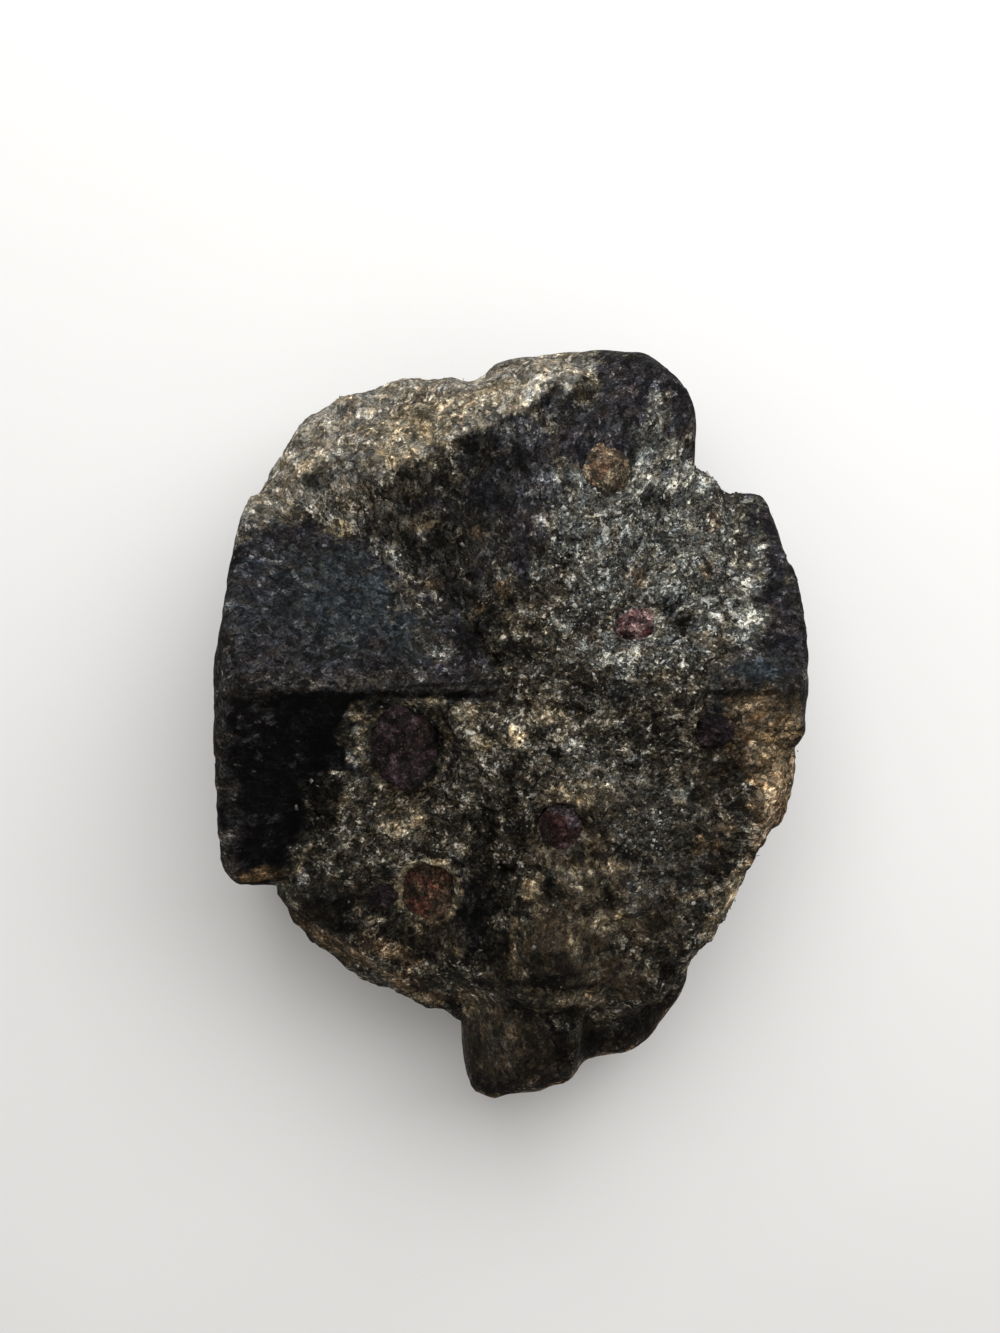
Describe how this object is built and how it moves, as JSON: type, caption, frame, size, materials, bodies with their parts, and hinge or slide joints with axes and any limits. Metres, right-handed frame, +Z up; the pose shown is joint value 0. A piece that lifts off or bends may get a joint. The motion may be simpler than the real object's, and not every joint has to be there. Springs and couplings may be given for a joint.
{
  "type": "staurolite cross in garnet schist",
  "caption": "Penetration twin of dark staurolite prisms crossed at a right angle, with garnet mica schist filling the corners between the arms; it rests on its flat underside.",
  "frame": {"origin": "middle of the stone's footprint, on the surface it rests on", "axes": "+Z up; X along the wide prism, whose ridge is on top; +Y towards the narrow prism's tall arm"},
  "size_m": [0.0454, 0.0594, 0.0267],
  "materials": {
    "staurolite": "dark brown-black crystal faces, half dull, with a blue-grey sheen and mica specks",
    "schist": "rough, grey, olive and rusty mica schist with glinting grains",
    "garnet": "dark red-brown worn crystals with a glassy glint"
  },
  "bodies": {
    "root": {"staurolite_twin": "staurolite", "schist_matrix": "schist", "garnet_plum": "garnet", "garnet_red": "garnet", "garnet_small_dark": "garnet", "garnet_round": "garnet", "garnet_pink": "garnet", "garnet_rusty": "garnet", "garnet_black": "garnet", "garnet_east": "garnet", "garnet_edge": "garnet", "garnet_west_side": "garnet", "garnet_north_side": "garnet", "garnet_under_west": "garnet", "garnet_under_south": "garnet"}
  },
  "joints": []
}
